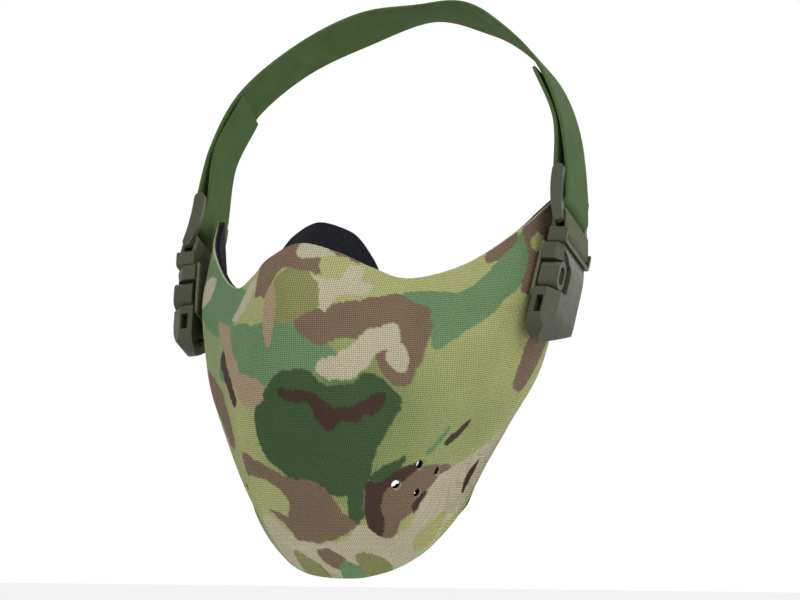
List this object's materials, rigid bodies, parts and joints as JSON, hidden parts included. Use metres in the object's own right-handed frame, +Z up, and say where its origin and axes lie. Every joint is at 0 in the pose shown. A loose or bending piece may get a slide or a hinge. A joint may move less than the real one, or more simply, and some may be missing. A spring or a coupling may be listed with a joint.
{
  "type": "half face mask",
  "caption": "Moulded half face mask in camouflage cloth with a nose pad, breathing holes, side-release buckles and an elastic strap over the head.",
  "frame": {"origin": "middle of the shell top edge, where it sits on the bridge of the nose", "axes": "+X to the wearer's left, +Y back towards the head, +Z up"},
  "size_m": [0.1872, 0.1679, 0.2677],
  "materials": {
    "camo_fabric": "woven camouflage cloth, matt",
    "moulded_core": "moulded foam sheet",
    "black_lining": "brushed black lining",
    "nose_foam": "black cloth-faced foam",
    "green_elastic": "woven green elastic",
    "olive_webbing": "coarse olive webbing",
    "olive_plastic": "moulded olive plastic, satin",
    "dark_metal": "blackened rivet"
  },
  "bodies": {
    "mask": {"camo_cover": "camo_fabric", "shell_core": "moulded_core", "inner_lining": "black_lining", "nose_pad": "nose_foam", "head_strap": "green_elastic", "left_buckle_socket": "olive_plastic", "left_buckle_clip": "olive_plastic", "left_upper_rivet": "dark_metal", "left_lower_rivet": "dark_metal", "left_upper_washer": "dark_metal", "left_lower_washer": "dark_metal", "left_anchor_webbing": "olive_webbing", "left_strap_adjuster": "olive_plastic", "left_webbing_loop": "olive_webbing", "right_buckle_socket": "olive_plastic", "right_buckle_clip": "olive_plastic", "right_upper_rivet": "dark_metal", "right_lower_rivet": "dark_metal", "right_upper_washer": "dark_metal", "right_lower_washer": "dark_metal", "right_anchor_webbing": "olive_webbing", "right_strap_adjuster": "olive_plastic", "right_webbing_loop": "olive_webbing"},
    "left_front_prong": {"left_front_release_prong": "olive_plastic"},
    "left_rear_prong": {"left_rear_release_prong": "olive_plastic"},
    "right_front_prong": {"right_front_release_prong": "olive_plastic"},
    "right_rear_prong": {"right_rear_release_prong": "olive_plastic"}
  },
  "joints": [
    {"name": "left_front_squeeze", "type": "hinge", "parent": "mask", "child": "left_front_prong", "pos_m": [0.08593, 0.06869, 0.00253], "axis": [0.9868, -0.1324, -0.0933], "range_deg": [0, 8], "stiffness_Nm_per_rad": 0.4},
    {"name": "left_rear_squeeze", "type": "hinge", "parent": "mask", "child": "left_rear_prong", "pos_m": [0.08757, 0.08515, -0.00346], "axis": [-0.9868, 0.1324, 0.0933], "range_deg": [0, 8], "stiffness_Nm_per_rad": 0.4},
    {"name": "right_front_squeeze", "type": "hinge", "parent": "mask", "child": "right_front_prong", "pos_m": [-0.08593, 0.06869, 0.00253], "axis": [0.9868, 0.1324, 0.0933], "range_deg": [0, 8], "stiffness_Nm_per_rad": 0.4},
    {"name": "right_rear_squeeze", "type": "hinge", "parent": "mask", "child": "right_rear_prong", "pos_m": [-0.08757, 0.08515, -0.00346], "axis": [-0.9868, -0.1324, -0.0933], "range_deg": [0, 8], "stiffness_Nm_per_rad": 0.4}
  ],
  "couplings": [
    {"joint": "left_rear_squeeze", "follows": "left_front_squeeze", "ratio": 1},
    {"joint": "right_rear_squeeze", "follows": "right_front_squeeze", "ratio": 1}
  ]
}
